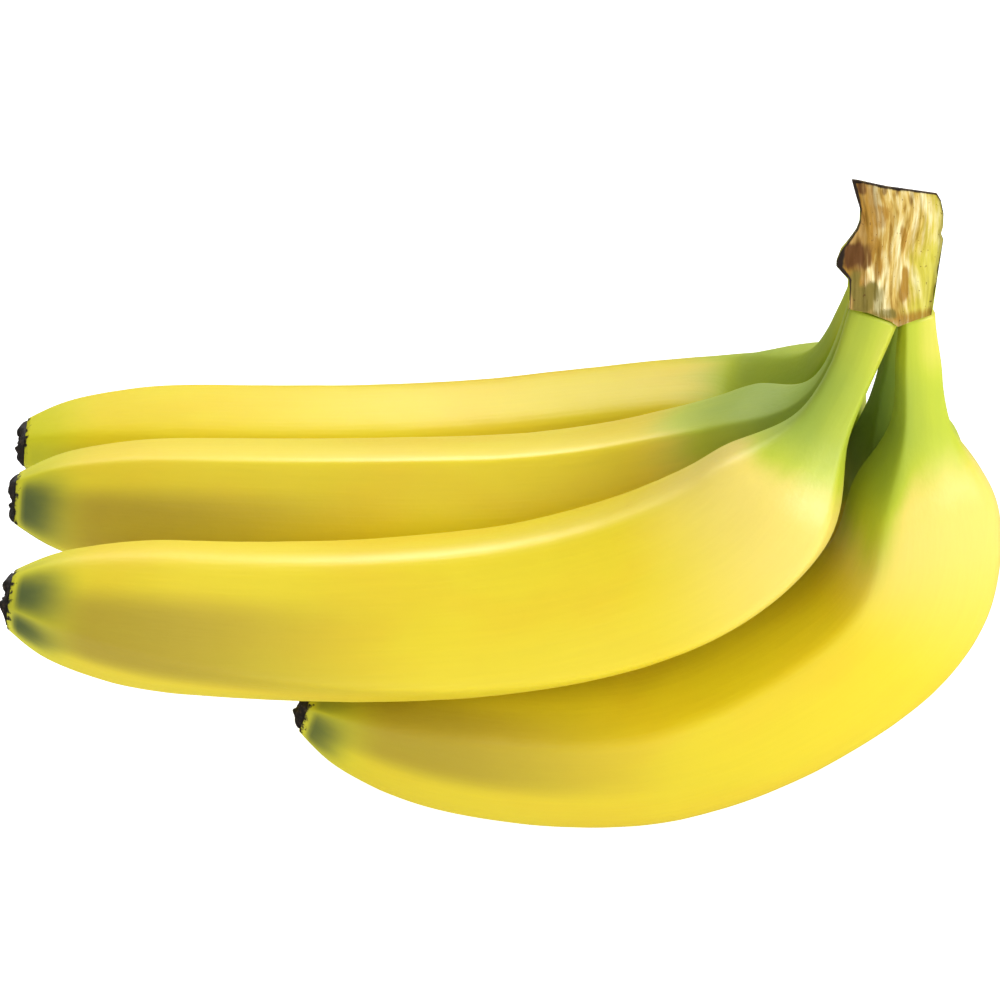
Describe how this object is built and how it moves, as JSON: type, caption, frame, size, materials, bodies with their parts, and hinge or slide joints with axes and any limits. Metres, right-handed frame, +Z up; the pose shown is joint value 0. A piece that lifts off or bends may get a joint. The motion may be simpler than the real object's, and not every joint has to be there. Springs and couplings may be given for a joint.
{
  "type": "bunch of bananas",
  "caption": "Bunch of ripe bananas grown from one cut crown, lying on the bellies of its lower row with the crown raised at one end.",
  "frame": {"origin": "on the surface that the bunch lies on, under the middle of its bounding box", "axes": "+X from the flower ends towards the crown, +Y from the front finger to the back one, +Z up"},
  "size_m": [0.2334, 0.1198, 0.1626],
  "materials": {
    "peel": "waxy satin banana peel, yellow with green necks and tips",
    "cut_crown": "dried cut fibre, matt, tan with brown streaks and dark brown edges",
    "dry_flower": "dry rough blackened flower remains, matt"
  },
  "bodies": {
    "root": {"crown": "cut_crown", "banana_front": "peel", "banana_middle": "peel", "banana_back": "peel", "banana_low_front": "peel", "banana_low_back": "peel", "flower_end_front": "dry_flower", "flower_end_middle": "dry_flower", "flower_end_back": "dry_flower", "flower_end_low_front": "dry_flower", "flower_end_low_back": "dry_flower"}
  },
  "joints": []
}
